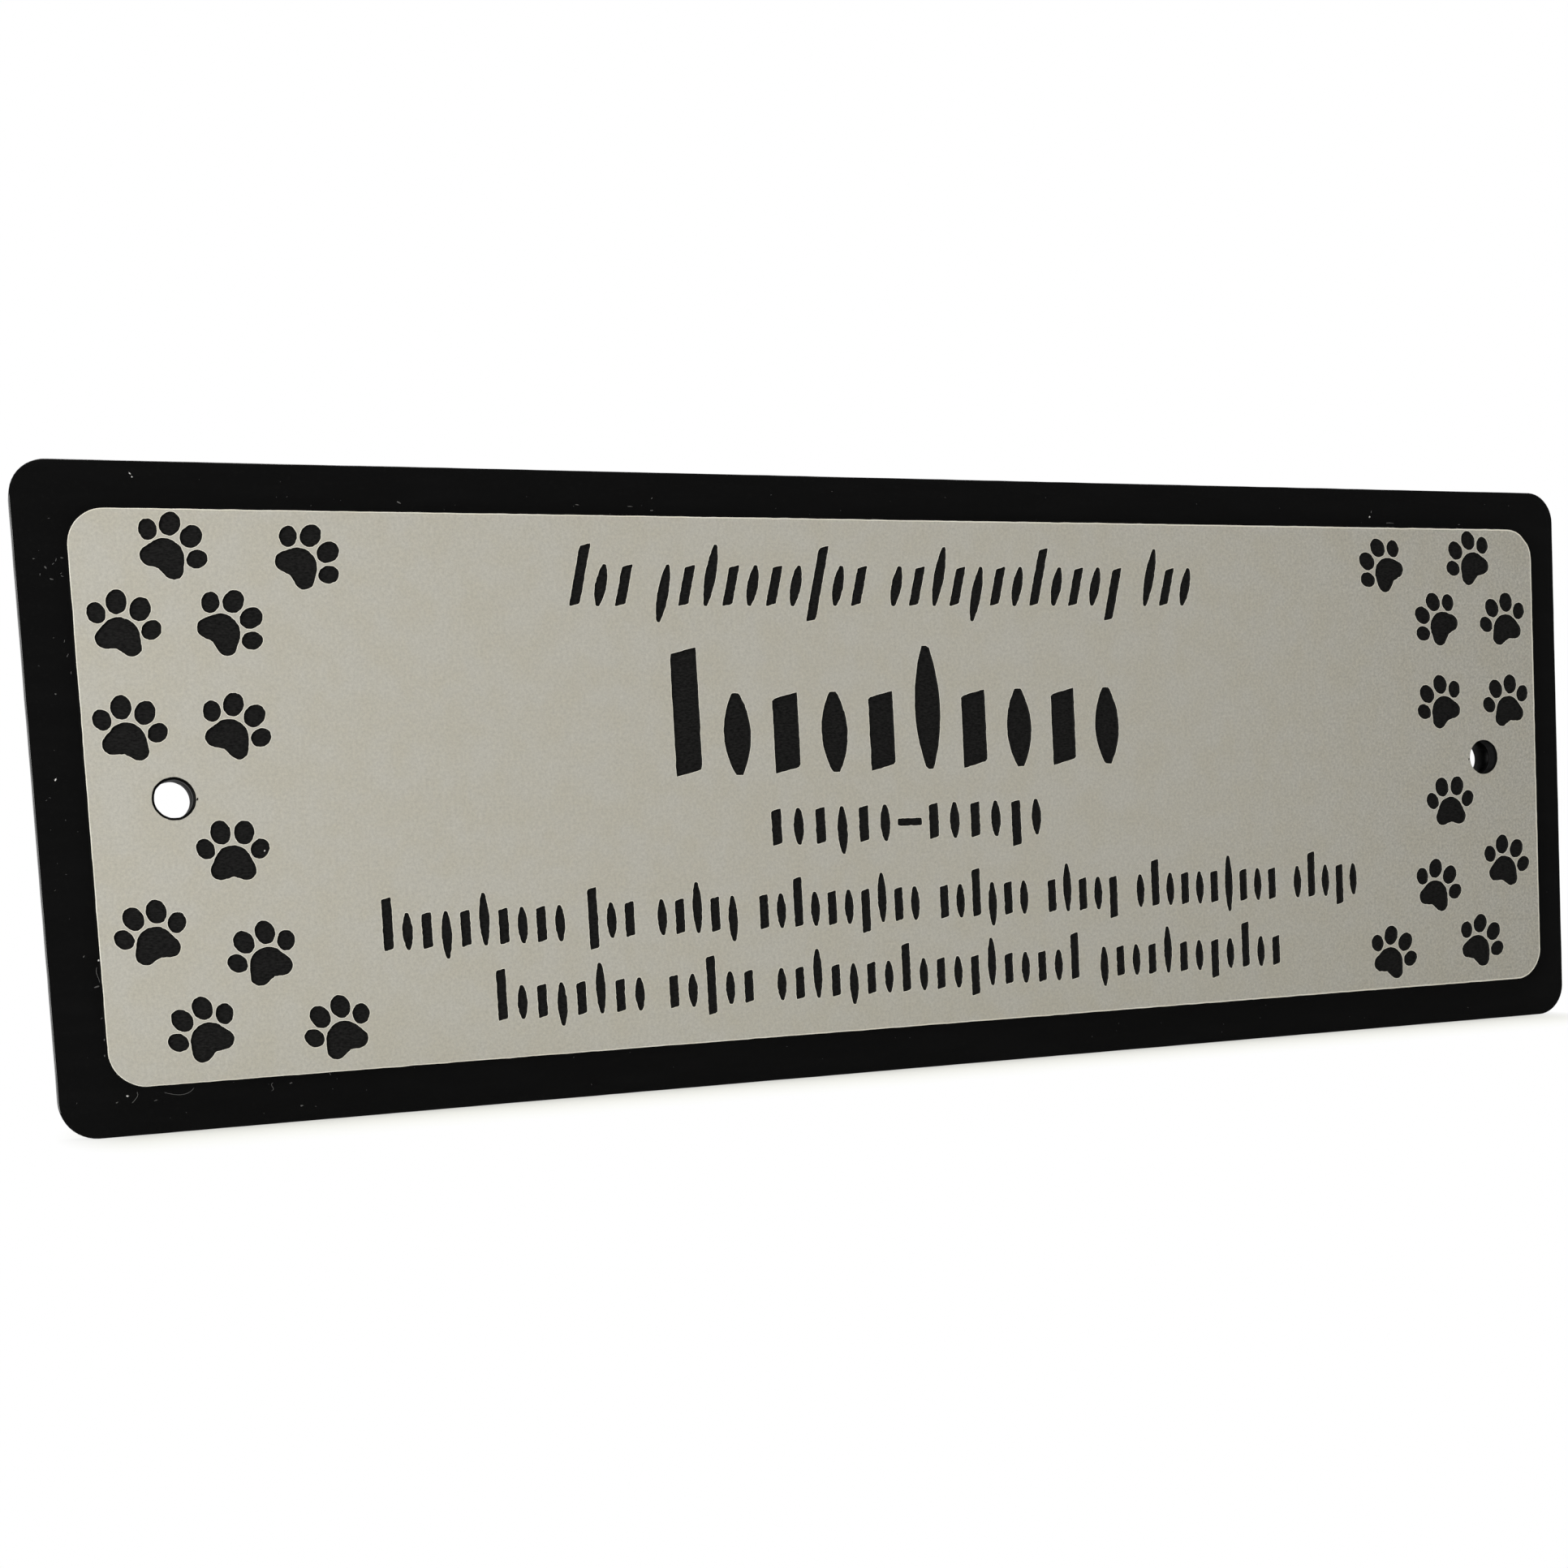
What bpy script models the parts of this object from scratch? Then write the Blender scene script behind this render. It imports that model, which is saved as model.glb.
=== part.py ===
"""Commemorative plaque: a satin silver plate on a black gloss board, with two screw holes.

The plate is engraved with paw prints down both ends and with rows of plain strokes between them.
The plaque stands upright and faces -Y. Its origin is the middle of the board's back, on the wall.
Lengths are in metres, +Z is up.
"""

import math
from collections import namedtuple

import bmesh
import bpy

MM = 0.001

# Black board, cut from sheet
BOARD_WIDTH = 200.0 * MM
BOARD_HEIGHT = 71.5 * MM
BOARD_THICKNESS = 3.0 * MM
BOARD_CORNER_RADIUS = 4.0 * MM

# Silver plate, bonded on the board with an even border all round
BORDER = 5.3 * MM
BOND_GAP = 0.3 * MM
FACE_THICKNESS = 1.5 * MM
FACE_CORNER_RADIUS = 4.0 * MM
FACE_CHAMFER = 0.2 * MM

# Screw holes, one near each end at mid height, measured from the board's ends
SCREW_HOLE_DIAMETER = 4.6 * MM
SCREW_HOLE_INSET = 14.1 * MM

# Engraving: its depth, and the field at each end that holds the paw prints
ENGRAVING_DEPTH = 0.25 * MM
PAW_FIELD_WIDTH = 29.5 * MM
PAW_SPAN = 8.0 * MM
PAW_EDGE_MARGIN = 0.4 * MM

# How finely round outlines are cut
CORNER_STEPS = 8
HOLE_SIDES = 32
TOE_SIDES = 10
DOME_STEPS = 7
LOBE_STEPS = 5

# How far a cutter runs past the face that it cuts
CUTTER_OVERRUN = 1.0 * MM

BOARD_COLOR = (0.006, 0.006, 0.006, 1.0)
FACE_COLOR = (0.46, 0.44, 0.39, 1.0)

# A toe of the paw print, in shares of PAW_SPAN from the print's middle: its place beside and above,
# its half width and half length, and how far it leans outward in degrees
Toe = namedtuple("Toe", "beside above half_width half_length lean")
OUTER_TOE = Toe(0.359, 0.021, 0.111, 0.134, 30.0)
INNER_TOE = Toe(0.155, 0.240, 0.126, 0.154, 8.0)

# The pad, in shares of PAW_SPAN: a domed top between two round lobes, with a shallow notch below
PAD_DROP = 0.184
PAD_DOME_RADIUS = 0.244
PAD_LOBE_RADIUS = 0.125
PAD_LOBE_BESIDE = 0.169
PAD_LOBE_BELOW = 0.081
PAD_NOTCH_BELOW = 0.158

# A paw print on the left end: its place inward across the field and up the plate, in shares of the
# room that the print's own span leaves there, and its turn in degrees. The right end is its mirror.
Print = namedtuple("Print", "inward up turn")
PRINTS = (
    Print(0.290, 1.02, -32.3),
    Print(0.960, 0.98, -44.9),
    Print(0.550, 0.71, -44.8),
    Print(0.030, 0.71, -18.3),
    Print(0.540, 0.29, -30.4),
    Print(0.020, 0.29, -14.7),
    Print(0.480, -0.22, -1.9),
    Print(0.048, -0.54, 15.7),
    Print(0.590, -0.65, 22.9),
    Print(0.262, -0.95, 28.9),
    Print(0.950, -0.98, 24.0),
)

# A row of strokes, in shares of the plate's height: how many strokes stand in each group, where their
# feet stand, how tall they are, and how far a tall one rises and a low one drops past that. Length is
# a share of the width between the paw fields, weight a stroke's share of its pitch, and slant the
# sideways run of a stroke per height. Dash is a level stroke between two groups, in pitches.
Row = namedtuple("Row", "groups foot height rise drop length weight slant dash")
ROWS = (
    Row((3, 10, 12, 3), 0.333, 0.076, 0.038, 0.030, 0.633, 0.43, 0.24, 0.0),
    Row((10,), 0.012, 0.154, 0.088, 0.000, 0.474, 0.50, 0.0, 0.0),
    Row((6, 6), -0.127, 0.070, 0.000, 0.022, 0.287, 0.40, 0.0, 1.1),
    Row((10, 3, 5, 10, 6, 5, 10, 5), -0.287, 0.066, 0.030, 0.020, 1.000, 0.45, 0.0, 0.0),
    Row((8, 5, 18, 12), -0.428, 0.062, 0.033, 0.018, 0.811, 0.42, 0.0, 0.0),
)
GROUP_GAP = 0.8
DASH_CLEARANCE = 0.2
DASH_THICKNESS = 0.18
TALL_EVERY = 5
LOW_EVERY = 7
LOW_START = 3
SPINDLE_WEIGHT = 1.05
SPINDLE_TIP = 0.25
SPINDLE_LEVELS = (0.0, 0.28, 0.72, 1.0)
STEM_TIP_CUT = 0.25

FACE_WIDTH = BOARD_WIDTH - 2 * BORDER
FACE_HEIGHT = BOARD_HEIGHT - 2 * BORDER
BOARD_FRONT = -BOARD_THICKNESS
FACE_BACK = BOARD_FRONT - BOND_GAP
FACE_FRONT = FACE_BACK - FACE_THICKNESS


def clear_scene():
    """Remove every object that the new file comes with."""
    for scene_object in list(bpy.data.objects):
        bpy.data.objects.remove(scene_object, do_unlink=True)


def new_collection(name, parent):
    """A collection under another one."""
    collection = bpy.data.collections.new(name)
    parent.children.link(collection)
    return collection


def plain_material(name, color, roughness, metallic):
    """A Principled material of one colour."""
    material = bpy.data.materials.new(name)
    material.use_nodes = True
    shader = material.node_tree.nodes["Principled BSDF"]
    shader.inputs["Base Color"].default_value = color
    shader.inputs["Roughness"].default_value = roughness
    shader.inputs["Metallic"].default_value = metallic
    material.diffuse_color = color
    return material


def arc(center, radius, start, end, steps):
    """Points along a circular arc, ends included, angles in degrees."""
    points = []
    for step in range(steps + 1):
        angle = math.radians(start + (end - start) * step / steps)
        points.append((center[0] + radius * math.cos(angle), center[1] + radius * math.sin(angle)))
    return points


def rounded_rectangle(width, height, radius):
    """Outline of a rectangle about the origin with round corners, anticlockwise."""
    outline = []
    for corner, (side, level) in enumerate(((1, 1), (-1, 1), (-1, -1), (1, -1))):
        center = (side * (width / 2 - radius), level * (height / 2 - radius))
        outline += arc(center, radius, 90.0 * corner, 90.0 * corner + 90.0, CORNER_STEPS)
    return outline


def placed(outline, center, turn, size):
    """An outline scaled, turned in degrees and moved to a place."""
    across, along = math.cos(math.radians(turn)), math.sin(math.radians(turn))
    return [
        (center[0] + size * (x * across - z * along), center[1] + size * (x * along + z * across))
        for x, z in outline
    ]


def upright_slab(name, outlines, front, back, collection):
    """A closed mesh object: flat outlines in X and Z, as thick as from front to back along Y."""
    curve = bpy.data.curves.new(name + "_outline", "CURVE")
    curve.dimensions = "2D"
    curve.fill_mode = "BOTH"
    curve.extrude = (back - front) / 2
    for outline in outlines:
        spline = curve.splines.new("POLY")
        spline.points.add(len(outline) - 1)
        for point, (x, z) in zip(spline.points, outline):
            point.co = (x, z, 0.0, 1.0)
        spline.use_cyclic_u = True
    drawn = bpy.data.objects.new(name + "_outline", curve)
    collection.objects.link(drawn)
    drawn.location = (0.0, (front + back) / 2, 0.0)
    drawn.rotation_euler = (math.radians(90), 0.0, 0.0)
    bpy.context.view_layer.update()

    evaluated = drawn.evaluated_get(bpy.context.evaluated_depsgraph_get())
    mesh = bpy.data.meshes.new_from_object(evaluated)
    mesh.name = name
    slab = bpy.data.objects.new(name, mesh)
    slab.matrix_world = drawn.matrix_world
    collection.objects.link(slab)
    bpy.data.objects.remove(drawn, do_unlink=True)

    edit = bmesh.new()
    edit.from_mesh(mesh)
    bmesh.ops.remove_doubles(edit, verts=edit.verts, dist=1e-7)
    bmesh.ops.dissolve_limit(edit, angle_limit=math.radians(1), verts=edit.verts, edges=edit.edges)
    bmesh.ops.recalc_face_normals(edit, faces=edit.faces)
    edit.to_mesh(mesh)
    edit.free()
    return slab


def chamfer_front(slab, width):
    """A flat chamfer round the front face of an upright slab, whose front is its local +Z side."""
    edit = bmesh.new()
    edit.from_mesh(slab.data)
    weight = edit.edges.layers.float.new("bevel_weight_edge")
    top = max(vert.co.z for vert in edit.verts)
    for edge in edit.edges:
        if all(math.isclose(vert.co.z, top, abs_tol=1e-6) for vert in edge.verts):
            edge[weight] = 1.0
    edit.to_mesh(slab.data)
    edit.free()
    bevel = slab.modifiers.new("front_chamfer", "BEVEL")
    bevel.limit_method = "WEIGHT"
    bevel.width = width
    bevel.segments = 1


def smooth_round_sides(slab):
    """Shade the round corners smooth and keep the cut edges sharp."""
    slab.data.shade_smooth()
    slab.data.set_sharp_from_angle(angle=math.radians(30))


def hide_cutter(cutter):
    """Show a cutter as wire and keep it out of renders."""
    cutter.hide_render = True
    cutter.display_type = "WIRE"


def cut(target, cutters):
    """Take the shapes of a collection of cutters out of an object."""
    boolean = target.modifiers.new("cut_" + cutters.name, "BOOLEAN")
    boolean.operation = "DIFFERENCE"
    boolean.solver = "EXACT"
    boolean.operand_type = "COLLECTION"
    boolean.collection = cutters


def add_screw_hole_cutter(name, center_x, collection):
    """A cylinder along Y through both sheets."""
    depth = -FACE_FRONT + 2 * CUTTER_OVERRUN
    bpy.ops.mesh.primitive_cylinder_add(
        vertices=HOLE_SIDES,
        radius=SCREW_HOLE_DIAMETER / 2,
        depth=depth,
        location=(center_x, FACE_FRONT / 2, 0.0),
        rotation=(math.radians(90), 0.0, 0.0),
    )
    cutter = bpy.context.object
    cutter.name = name
    for holder in list(cutter.users_collection):
        holder.objects.unlink(cutter)
    collection.objects.link(cutter)
    hide_cutter(cutter)


def toe_outline(toe, side):
    """An ellipse that leans outward, on one side of the paw print."""
    ellipse = [
        (toe.half_width * x, toe.half_length * z)
        for x, z in arc((0.0, 0.0), 1.0, 0.0, 360.0, TOE_SIDES)[:-1]
    ]
    return placed(ellipse, (side * toe.beside, toe.above), -side * toe.lean, 1.0)


def pad_outline():
    """The pad: a dome arc tangent to a lobe arc on each side, and a notch between the lobes."""
    reach = math.hypot(PAD_LOBE_BESIDE, PAD_LOBE_BELOW)
    fall = math.degrees(math.atan2(PAD_LOBE_BELOW, PAD_LOBE_BESIDE))
    tangent = math.degrees(math.acos((PAD_DOME_RADIUS - PAD_LOBE_RADIUS) / reach)) - fall
    lobe = (PAD_LOBE_BESIDE, -PAD_DROP - PAD_LOBE_BELOW)
    right_lobe = arc(lobe, PAD_LOBE_RADIUS, -115.0, tangent, LOBE_STEPS)
    left_lobe = [(-x, z) for x, z in reversed(right_lobe)]
    dome = arc((0.0, -PAD_DROP), PAD_DOME_RADIUS, tangent, 180.0 - tangent, DOME_STEPS)
    notch = (0.0, -PAD_DROP - PAD_NOTCH_BELOW)
    return [notch] + right_lobe + dome + left_lobe


def paw_outlines(center, turn):
    """The pad and the four toes of one paw print."""
    outlines = [pad_outline()]
    for side in (-1, 1):
        outlines += [toe_outline(OUTER_TOE, side), toe_outline(INNER_TOE, side)]
    return [placed(outline, center, turn, PAW_SPAN) for outline in outlines]


def print_places(side):
    """Middle and turn of each paw print at one end of the plate, -1 for the left and 1 for the right."""
    room_across = PAW_FIELD_WIDTH - PAW_SPAN - PAW_EDGE_MARGIN
    room_up = FACE_HEIGHT / 2 - PAW_SPAN / 2 - PAW_EDGE_MARGIN
    places = []
    for paw in PRINTS:
        inset = PAW_EDGE_MARGIN + PAW_SPAN / 2 + paw.inward * room_across
        places.append(((side * (FACE_WIDTH / 2 - inset), paw.up * room_up), -side * paw.turn))
    return places


def stem_outline(x, foot, top, width, slant):
    """A straight stroke with a chisel cut at both ends."""
    cut_height = STEM_TIP_CUT * width
    return [
        (x - width / 2, foot),
        (x + width / 2, foot + cut_height),
        (x + width / 2 + slant * (top - foot), top),
        (x - width / 2 + slant * (top - foot), top - cut_height),
    ]


def spindle_outline(x, foot, top, width, slant):
    """A stroke that is widest at its middle and narrows to both tips."""
    right, left = [], []
    for share in SPINDLE_LEVELS:
        swell = SPINDLE_TIP + (1 - SPINDLE_TIP) * (1 - (2 * share - 1) ** 2)
        middle = x + slant * share * (top - foot)
        level = foot + share * (top - foot)
        right.append((middle + swell * width / 2, level))
        left.append((middle - swell * width / 2, level))
    return right + left[::-1]


def row_outlines(row):
    """One row of strokes: stems and spindles in turn, some taller and some lower."""
    length = row.length * (FACE_WIDTH - 2 * PAW_FIELD_WIDTH)
    gap = max(GROUP_GAP, row.dash + DASH_CLEARANCE)
    pitch = length / (sum(row.groups) + gap * (len(row.groups) - 1))
    width = row.weight * pitch
    foot, top = row.foot * FACE_HEIGHT, (row.foot + row.height) * FACE_HEIGHT
    lean_back = row.slant * (top - foot) / 2
    x = -length / 2 + pitch / 2 - lean_back
    outlines = []
    index = 0
    for group in row.groups:
        for _ in range(group):
            rise = row.rise * FACE_HEIGHT if index % TALL_EVERY == 0 else 0.0
            drop = row.drop * FACE_HEIGHT if index % LOW_EVERY == LOW_START else 0.0
            start = x - row.slant * drop
            ends = (start, foot - drop, top + rise)
            if index % 2 == 0:
                outlines.append(stem_outline(*ends, width, row.slant))
            else:
                outlines.append(spindle_outline(*ends, SPINDLE_WEIGHT * width, row.slant))
            x += pitch
            index += 1
        x += gap * pitch
    if row.dash:
        end = row.dash * pitch / 2
        low = (top + foot) / 2 - DASH_THICKNESS * (top - foot) / 2
        high = (top + foot) / 2 + DASH_THICKNESS * (top - foot) / 2
        outlines.append([(-end, low), (end, low), (end, high), (-end, high)])
    return outlines


def add_engraving_cutters(collection):
    """One cutter for each paw print and one for each row of strokes."""
    outlines = {}
    for side, end in ((-1, "left"), (1, "right")):
        for number, (center, turn) in enumerate(print_places(side), start=1):
            outlines[f"paw_cutter_{end}_{number}"] = paw_outlines(center, turn)
    for number, row in enumerate(ROWS, start=1):
        outlines[f"stroke_row_cutter_{number}"] = row_outlines(row)
    front, floor = FACE_FRONT - CUTTER_OVERRUN, FACE_FRONT + ENGRAVING_DEPTH
    for name, shapes in outlines.items():
        hide_cutter(upright_slab(name, shapes, front, floor, collection))


def add_backing_board(collection, holes):
    """The black board: a rounded rectangle with its back on the wall."""
    outline = rounded_rectangle(BOARD_WIDTH, BOARD_HEIGHT, BOARD_CORNER_RADIUS)
    board = upright_slab("backing_board", [outline], BOARD_FRONT, 0.0, collection)
    board.data.materials.append(plain_material("black_gloss_acrylic", BOARD_COLOR, 0.08, 0.0))
    smooth_round_sides(board)
    cut(board, holes)


def add_face_plate(collection, holes, engraving):
    """The silver plate: a smaller rounded rectangle, chamfered in front, drilled and engraved."""
    outline = rounded_rectangle(FACE_WIDTH, FACE_HEIGHT, FACE_CORNER_RADIUS)
    plate = upright_slab("face_plate", [outline], FACE_FRONT, FACE_BACK, collection)
    plate.data.materials.append(plain_material("satin_silver_laminate", FACE_COLOR, 0.38, 0.6))
    smooth_round_sides(plate)
    chamfer_front(plate, FACE_CHAMFER)
    cut(plate, holes)
    cut(plate, engraving)


def build():
    """Model the plaque."""
    clear_scene()
    parts = new_collection("commemorative_plaque", bpy.context.scene.collection)
    cutters = new_collection("cutters", bpy.context.scene.collection)
    holes = new_collection("screw_holes", cutters)
    engraving = new_collection("engraving", cutters)
    hole_place = BOARD_WIDTH / 2 - SCREW_HOLE_INSET
    add_screw_hole_cutter("screw_hole_cutter_left", -hole_place, holes)
    add_screw_hole_cutter("screw_hole_cutter_right", hole_place, holes)
    add_engraving_cutters(engraving)
    add_backing_board(parts, holes)
    add_face_plate(parts, holes, engraving)


build()
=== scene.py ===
"""Looks of the commemorative plaque: a satin silver plate on a black gloss board, with two screw holes.

The plate is a two-ply laminate, a thin silver skin on a black core. Paw prints and rows of plain strokes
are engraved through the skin. Nearly every surface here is a closed outline in X and Z, held as an array
of points, and a profile that is carried round it, or the flat sheet between such outlines.
Lengths are in metres, +Z is up. The plaque faces -Y and its back is at Y = 0.
"""

from collections import namedtuple

import bmesh
import bpy
import numpy as np
from mathutils.geometry import delaunay_2d_cdt
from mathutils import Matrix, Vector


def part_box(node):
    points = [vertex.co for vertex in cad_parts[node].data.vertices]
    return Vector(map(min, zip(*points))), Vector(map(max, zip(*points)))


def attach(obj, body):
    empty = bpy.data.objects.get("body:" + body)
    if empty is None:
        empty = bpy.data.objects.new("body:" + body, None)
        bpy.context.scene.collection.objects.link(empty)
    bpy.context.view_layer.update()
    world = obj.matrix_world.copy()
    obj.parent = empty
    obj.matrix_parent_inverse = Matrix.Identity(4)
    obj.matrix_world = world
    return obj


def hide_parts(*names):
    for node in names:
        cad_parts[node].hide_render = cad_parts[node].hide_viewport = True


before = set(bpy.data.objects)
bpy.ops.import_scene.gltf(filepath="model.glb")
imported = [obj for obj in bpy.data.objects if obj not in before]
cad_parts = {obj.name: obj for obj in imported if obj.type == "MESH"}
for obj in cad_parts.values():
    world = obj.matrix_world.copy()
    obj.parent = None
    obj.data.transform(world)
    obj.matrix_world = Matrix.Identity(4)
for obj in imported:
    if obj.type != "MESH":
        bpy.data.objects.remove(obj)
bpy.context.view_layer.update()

MM = 0.001

# The two sheets' boxes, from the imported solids, with their faces in Y and the plate's size
BOARD_LOW, BOARD_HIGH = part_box("backing_board")
PLATE_LOW, PLATE_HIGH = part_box("face_plate")
BOARD_FRONT = BOARD_LOW.y
PLATE_FRONT, PLATE_BACK = PLATE_LOW.y, PLATE_HIGH.y
PLATE_WIDTH = PLATE_HIGH.x - PLATE_LOW.x
PLATE_HEIGHT = PLATE_HIGH.z - PLATE_LOW.z

# Repeated from the part's source
CORNER_RADIUS = 4.0 * MM
SCREW_HOLE_RADIUS = 2.3 * MM
SCREW_HOLE_INSET = 14.1 * MM
ENGRAVING_DEPTH = 0.25 * MM
PAW_FIELD_WIDTH = 29.5 * MM
PAW_SPAN = 8.0 * MM
PAW_EDGE_MARGIN = 0.4 * MM

# A toe of the paw print, in shares of PAW_SPAN from the print's middle: its place beside and above,
# its half width and half length, and how far it leans outward in degrees
Toe = namedtuple("Toe", "beside above half_width half_length lean")
OUTER_TOE = Toe(0.359, 0.021, 0.111, 0.134, 30.0)
INNER_TOE = Toe(0.155, 0.240, 0.126, 0.154, 8.0)

# The pad, in shares of PAW_SPAN: a domed top between two round lobes, with a shallow notch below
PAD_DROP = 0.184
PAD_DOME_RADIUS = 0.244
PAD_LOBE_RADIUS = 0.125
PAD_LOBE_BESIDE = 0.169
PAD_LOBE_BELOW = 0.081
PAD_NOTCH_BELOW = 0.158

# A paw print on the left end: its place inward across the field and up the plate, in shares of the
# room that the print's own span leaves there, and its turn in degrees. The right end is its mirror.
Print = namedtuple("Print", "inward up turn")
PRINTS = (
    Print(0.290, 1.02, -32.3),
    Print(0.960, 0.98, -44.9),
    Print(0.550, 0.71, -44.8),
    Print(0.030, 0.71, -18.3),
    Print(0.540, 0.29, -30.4),
    Print(0.020, 0.29, -14.7),
    Print(0.480, -0.22, -1.9),
    Print(0.048, -0.54, 15.7),
    Print(0.590, -0.65, 22.9),
    Print(0.262, -0.95, 28.9),
    Print(0.950, -0.98, 24.0),
)

# A row of strokes, in shares of the plate's height: how many strokes stand in each group, where their
# feet stand, how tall they are, and how far a tall one rises and a low one drops past that. Length is
# a share of the width between the paw fields, weight a stroke's share of its pitch, and slant the
# sideways run of a stroke per height. Dash is a level stroke between two groups, in pitches.
Row = namedtuple("Row", "groups foot height rise drop length weight slant dash")
ROWS = (
    Row((3, 10, 12, 3), 0.333, 0.076, 0.038, 0.030, 0.633, 0.43, 0.24, 0.0),
    Row((10,), 0.012, 0.154, 0.088, 0.000, 0.474, 0.50, 0.0, 0.0),
    Row((6, 6), -0.127, 0.070, 0.000, 0.022, 0.287, 0.40, 0.0, 1.1),
    Row((10, 3, 5, 10, 6, 5, 10, 5), -0.287, 0.066, 0.030, 0.020, 1.000, 0.45, 0.0, 0.0),
    Row((8, 5, 18, 12), -0.428, 0.062, 0.033, 0.018, 0.811, 0.42, 0.0, 0.0),
)
GROUP_GAP = 0.8
DASH_CLEARANCE = 0.2
DASH_THICKNESS = 0.18
TALL_EVERY = 5
LOW_EVERY = 7
LOW_START = 3
SPINDLE_WEIGHT = 1.05
SPINDLE_TIP = 0.25
STEM_TIP_CUT = 0.25

# Points on each outline
EDGE_STEPS = 960
HOLE_STEPS = 96
TOE_STEPS = 44
PAD_STEPS = 80
STROKE_STEPS = 56
SPINDLE_STATIONS = 24
GRAIN_STEPS = 8

# How the laser leaves a mark: corners rounded by its spot, a little wider than drawn, and an edge that
# wanders a little, in waves of this length
BEAM_ROUNDING = 0.07 * MM
BEAM_GROWTH = 0.06 * MM
BEAM_WANDER = 0.018 * MM
BEAM_WAVE = 0.5 * MM

# How a cut edge leaves its drawn outline: how far it wanders, in waves of this length, how much it is
# worn in, and the seed of its waves
CutEdge = namedtuple("CutEdge", "wander wave worn seed")
PLATE_EDGE = CutEdge(0.012 * MM, 1.6 * MM, 0.030 * MM, 5)
BOARD_EDGE = CutEdge(0.006 * MM, 4.0 * MM, 0.018 * MM, 6)
HOLE_EDGE = CutEdge(0.010 * MM, 0.9 * MM, 0.0, 71)

# How thick the silver skin is
SKIN_DEPTH = 0.06 * MM

# Profiles as pairs of a move outward from the outline and a depth behind the front, from the front on
# The lip is a flat ring round each mark at the front's level, in the rim's lighter silver: a painted
# highlight
PAINTED_LIP_RING = ((0.07 * MM, 0.0), (0.012 * MM, 0.0))
ENGRAVED_WALL = (
    (0.012 * MM, 0.0), (0.0, 0.035 * MM), (-0.015 * MM, SKIN_DEPTH), (-0.045 * MM, ENGRAVING_DEPTH)
)
PLATE_RIM = ((-0.025 * MM, 0.0), (-0.008 * MM, 0.020 * MM), (0.0, SKIN_DEPTH))
BORE_CHAR = ((0.0, 0.0), (-0.17 * MM, 0.02 * MM), (-0.26 * MM, 0.10 * MM), (-0.28 * MM, 0.3 * MM))

# The board's rounded edges: their radius, and the steps of the quarter turn
BOARD_EDGE_ROUND = 0.12 * MM
EDGE_ROUND_STEPS = 4

# The film between the sheets: how far it stops short of the plate's edge and of the holes, and the
# hair's breadth that it leaves before and behind it
FILM_SHORT = 0.12 * MM
FILM_HOLE_SHORT = 0.05 * MM
FILM_CLEARANCE = 0.01 * MM

# How wide the painted highlight along the plate's edge is, at its left end and at its right end: it is
# wider, so it looks brighter, towards the right end
PAINTED_HIGHLIGHT_WIDTHS = (0.06 * MM, 0.16 * MM)

# How far the char at each screw hole reaches in, as a share of BORE_CHAR, and how much the board's
# bore narrows towards its back, left hole first
CHAR_SHARES = (1.0, 0.2)
BORE_TAPERS = (0.24 * MM, 0.0)
BORE_FLARE = 0.15 * MM

# A small nick in the plate's edge: its place, how deep it goes and how far it reaches
NICK_PLACE = (93.4 * MM, 28.9 * MM)
NICK_DEPTH = 0.14 * MM
NICK_REACH = 0.45 * MM

# The silver skin's tints, as shares of its level, with how light the cool and the dark one are
WARM_SILVER = (1.0, 0.955, 0.815)
COOL_SILVER = (1.0, 0.968, 0.860)
COOL_LEVEL = 1.02
DARK_LEVEL = 0.45

# How wide the silver's grain and patches are, how metallic it is, how rough between its dark and its
# light grain, and where along X the grain begins to grow stronger and is strongest
SILVER_GRAIN = 0.34 * MM
SILVER_PATCH = 4.5 * MM
SILVER_METALLIC = 0.45
SILVER_ROUGHNESS = (0.51, 0.60)
GRAIN_ENDS = (0.0, 0.1)

# A silver: its level, and the dark share of its grain at the left and at the right end
Silver = namedtuple("Silver", "level left_grain right_grain")
SKIN_SILVER = Silver(0.67, 0.42, 0.80)
# The rim's silver is lighter than the skin's: a painted highlight along the plate's edge and round each
# mark
HIGHLIGHT_RIM_SILVER = Silver(1.0, 0.12, 0.12)

# A cut through the black core: its level, how wide its mottling is, its roughness and its gloss
Core = namedtuple("Core", "level mottle roughness gloss")
EDGE_CORE = Core(0.007, 0.40 * MM, 0.6, 0.15)
ENGRAVED_CORE = Core(0.0062, 0.45 * MM, 0.7, 0.12)

# The black acrylic: its levels where it is clean and where it is filmed, the level of the finest dust on
# it, its roughness where it is smooth and where it is rubbed, and its gloss
ACRYLIC_LEVELS = (0.0038, 0.0056)
FINE_DUST_LEVEL = 0.010
ACRYLIC_ROUGHNESS = (0.06, 0.13)
ACRYLIC_GLOSS = 0.35

# The acrylic's cut sides
CUT_ACRYLIC_LEVEL = 0.006
CUT_ACRYLIC_ROUGHNESS = 0.12

# The char in the holes: the levels of its soot and of its streaks, its roughness and its gloss
CHAR_LEVELS = (0.0015, 0.007)
CHAR_ROUGHNESS = 0.45
CHAR_GLOSS = 0.06

# The adhesive's levels, and how light the three kinds of dust are
ADHESIVE_LEVELS = (0.008, 0.014)
BRIGHT_DUST = 0.70
SOFT_DUST = 0.11
FAINT_DUST = 0.05

# How deep the bump of the uneven black finishes is
BLACK_BUMP = 0.02 * MM

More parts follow.
